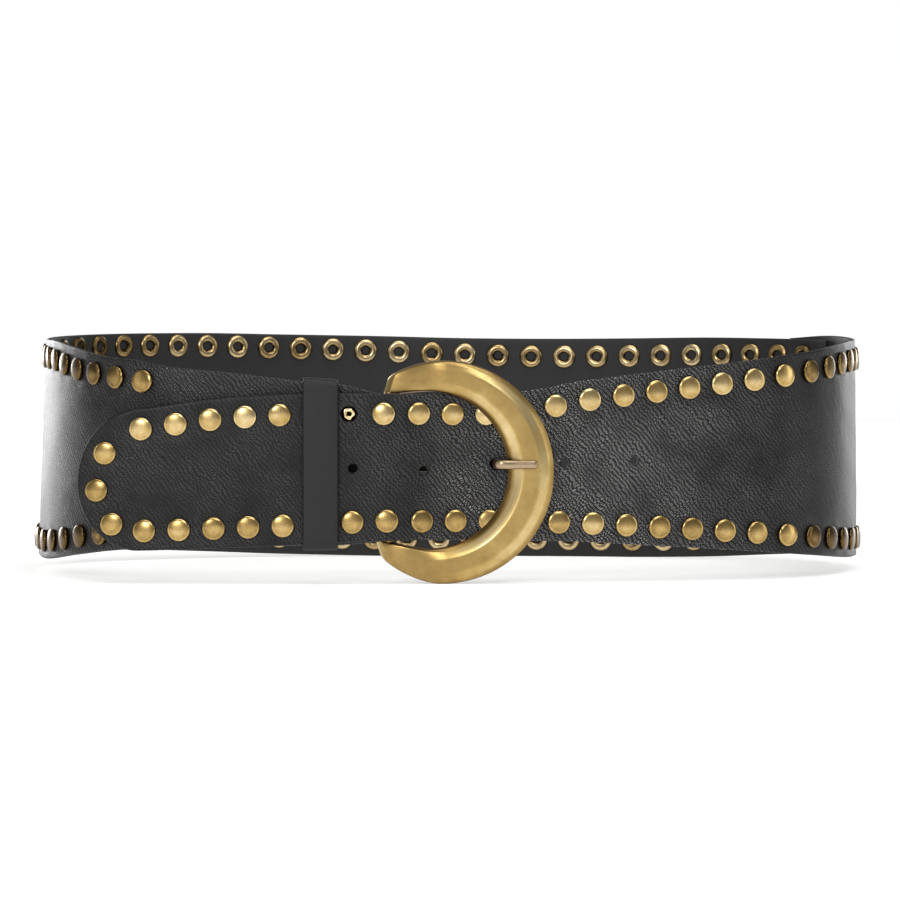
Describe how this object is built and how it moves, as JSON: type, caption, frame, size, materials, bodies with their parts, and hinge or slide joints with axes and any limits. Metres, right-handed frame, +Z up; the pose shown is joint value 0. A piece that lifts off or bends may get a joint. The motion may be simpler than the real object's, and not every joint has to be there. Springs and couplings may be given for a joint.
{
  "type": "studded waist belt",
  "caption": "Wide leather waist belt fastened in an upright loop, with a crescent buckle and prong, a keeper, a round tongue, and rows of low metal studs along both edges.",
  "frame": {"origin": "on the surface that the belt stands on, under the middle of its box", "axes": "+X to the right seen from the buckle's side, the tongue pointing to -X; +Y from the buckle to the back; +Z up, along the leather's height"},
  "size_m": [0.3744, 0.2368, 0.1049],
  "materials": {
    "outer_leather": "pebbled satin",
    "panel_leather": "smooth satin",
    "keeper_leather": "smooth matt",
    "buckle_brass": "antique satin",
    "prong_bronze": "dark antique",
    "stud_brass": "antique polished"
  },
  "bodies": {
    "root": {"outer_strap": "outer_leather", "back_panel": "panel_leather", "keeper": "keeper_leather", "buckle_frame": "buckle_brass", "buckle_prong": "prong_bronze", "bare_rivet": "stud_brass", "stud_tip_upper": "stud_brass", "stud_tip_middle": "stud_brass", "stud_tip_lower": "stud_brass", "stud_tongue_top_1": "stud_brass", "stud_tongue_top_3": "stud_brass", "stud_tongue_top_4": "stud_brass", "stud_tongue_top_5": "stud_brass", "stud_tongue_top_6": "stud_brass", "stud_tongue_top_7": "stud_brass", "stud_tongue_top_8": "stud_brass", "stud_tongue_bottom_1": "stud_brass", "stud_tongue_bottom_2": "stud_brass", "stud_tongue_bottom_3": "stud_brass", "stud_tongue_bottom_4": "stud_brass", "stud_tongue_bottom_5": "stud_brass", "stud_tongue_bottom_6": "stud_brass", "stud_tongue_bottom_7": "stud_brass", "stud_tongue_bottom_8": "stud_brass", "stud_front_top_1": "stud_brass", "stud_front_top_2": "stud_brass", "stud_front_top_3": "stud_brass", "stud_front_top_4": "stud_brass", "stud_front_top_5": "stud_brass", "stud_front_top_6": "stud_brass", "stud_front_top_7": "stud_brass", "stud_front_top_8": "stud_brass", "stud_front_top_9": "stud_brass", "stud_front_top_10": "stud_brass", "stud_front_top_11": "stud_brass", "stud_front_bottom_1": "stud_brass", "stud_front_bottom_2": "stud_brass", "stud_front_bottom_3": "stud_brass", "stud_front_bottom_4": "stud_brass", "stud_front_bottom_5": "stud_brass", "stud_front_bottom_6": "stud_brass", "stud_front_bottom_7": "stud_brass", "stud_front_bottom_8": "stud_brass", "stud_front_bottom_9": "stud_brass", "stud_front_bottom_10": "stud_brass", "stud_front_bottom_11": "stud_brass", "studs_side_top": "stud_brass", "studs_side_bottom": "stud_brass", "studs_back_top": "stud_brass", "studs_back_bottom": "stud_brass", "rings_front_top": "stud_brass", "rings_front_bottom": "stud_brass", "rings_back_top": "stud_brass", "rings_back_bottom": "stud_brass"}
  },
  "joints": []
}
